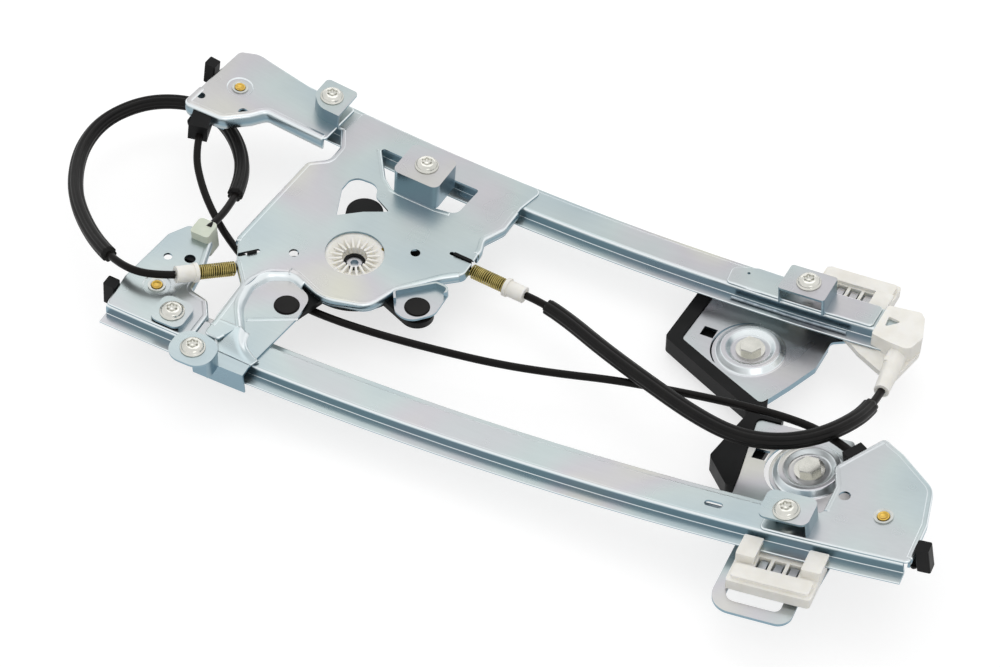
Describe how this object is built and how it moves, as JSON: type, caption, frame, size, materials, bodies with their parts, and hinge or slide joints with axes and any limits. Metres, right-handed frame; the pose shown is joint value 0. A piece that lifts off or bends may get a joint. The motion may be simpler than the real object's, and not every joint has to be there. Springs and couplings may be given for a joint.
{
  "type": "window regulator",
  "caption": "Cable window regulator for a car door: two bowed rails, drum plate, cable drum, end pulleys, sheathed cables and two sliding carriages with glass clamps.",
  "frame": {"origin": "drum axis on the drum plate's mounting face", "axes": "+X down the window travel along the front rail, +Y towards the front rail, +Z out of the mounting side"},
  "size_m": [0.6409, 0.2823, 0.0714],
  "materials": {
    "black_plastic": "moulded, matte",
    "black_rubber": "soft, matte",
    "brass_rivet": "yellow passivated",
    "bright_steel": "bright zinc",
    "green_white_nylon": "natural nylon, greenish",
    "natural_nylon": "natural nylon",
    "wire_rope": "stranded steel rope, greased",
    "yellow_zinc": "yellow zinc wire",
    "zinc_steel": "blue passivated zinc, satin"
  },
  "bodies": {
    "frame": {"front_rail": "zinc_steel", "rear_rail": "zinc_steel", "front_top_bracket": "zinc_steel", "front_lower_bracket": "zinc_steel", "rear_top_bracket": "zinc_steel", "rear_bottom_bracket": "zinc_steel", "drum_plate": "zinc_steel", "drum_housing": "black_plastic", "drum_pivot": "zinc_steel", "motor_bushes": "black_rubber", "front_top_rivet": "brass_rivet", "rear_top_rivet": "brass_rivet", "rear_bottom_rivet": "brass_rivet", "front_rope": "wire_rope", "rear_rope": "wire_rope", "mounting_screws": "bright_steel", "front_end_guide": "natural_nylon", "left_spring": "yellow_zinc", "right_spring": "yellow_zinc", "cable_a": "black_rubber", "cable_b": "black_rubber", "cable_c": "black_rubber", "sleeve_a": "black_rubber", "sleeve_c": "black_rubber", "left_ferrule": "natural_nylon", "right_ferrule": "natural_nylon", "left_rope": "wire_rope", "right_rope": "wire_rope", "front_pulley_guard": "black_plastic", "rear_top_pulley_guard": "black_plastic", "rear_bottom_pulley_guard": "black_plastic", "rear_grommet": "green_white_nylon"},
    "drum": {"cable_drum": "natural_nylon", "drum_hub": "black_plastic", "drum_nipple": "brass_rivet"},
    "front_top_wheel": {"front_top_pulley": "black_plastic"},
    "rear_top_wheel": {"rear_top_pulley": "black_plastic"},
    "rear_bottom_wheel": {"rear_bottom_pulley": "black_plastic"},
    "front_carriage": {"front_carriage_plate": "zinc_steel", "front_glass_bolt": "bright_steel", "front_glass_nut": "bright_steel", "front_glass_holder": "black_plastic", "front_shoe": "natural_nylon", "front_rope_anchor": "natural_nylon"},
    "rear_carriage": {"rear_carriage_plate": "zinc_steel", "rear_glass_bolt": "bright_steel", "rear_glass_nut": "bright_steel", "rear_glass_holder": "black_plastic", "rear_shoe": "natural_nylon", "rear_rope_anchor": "natural_nylon", "rear_loop": "zinc_steel"}
  },
  "joints": [
    {"name": "front_carriage_travel", "type": "hinge", "parent": "frame", "child": "front_carriage", "pos_m": [0.134, 0.104, 1.63502], "axis": [0, 1, 0], "range_deg": [0, 10.29]},
    {"name": "rear_carriage_travel", "type": "hinge", "parent": "frame", "child": "rear_carriage", "pos_m": [0.0786, -0.1044, 1.635], "axis": [-0.0576, 0.9983, 0], "range_deg": [0, 10.29]},
    {"name": "drum_turn", "type": "hinge", "parent": "frame", "child": "drum", "pos_m": [0, 0, 0], "axis": [0.0816, 0, 0.9967], "range_deg": [-2, 660]},
    {"name": "front_top_pulley_turn", "type": "hinge", "parent": "frame", "child": "front_top_wheel", "pos_m": [-0.13986, 0.084, 0.01075], "axis": [0.1663, 0, 0.9861], "range_deg": [-2, 1070]},
    {"name": "rear_top_pulley_turn", "type": "hinge", "parent": "frame", "child": "rear_top_wheel", "pos_m": [-0.09333, -0.08526, -0.00335], "axis": [0.1034, 0.006, 0.9946], "range_deg": [-1070, 2]},
    {"name": "rear_bottom_pulley_turn", "type": "hinge", "parent": "frame", "child": "rear_bottom_wheel", "pos_m": [0.38239, -0.05783, 0.01647], "axis": [-0.1854, -0.0107, 0.9826], "range_deg": [-1070, 2]}
  ],
  "couplings": [
    {"joint": "rear_carriage_travel", "follows": "front_carriage_travel", "ratio": 1},
    {"joint": "drum_turn", "follows": "front_carriage_travel", "ratio": 63.354},
    {"joint": "front_top_pulley_turn", "follows": "front_carriage_travel", "ratio": 102.95},
    {"joint": "rear_top_pulley_turn", "follows": "front_carriage_travel", "ratio": -102.95},
    {"joint": "rear_bottom_pulley_turn", "follows": "front_carriage_travel", "ratio": -102.95}
  ]
}
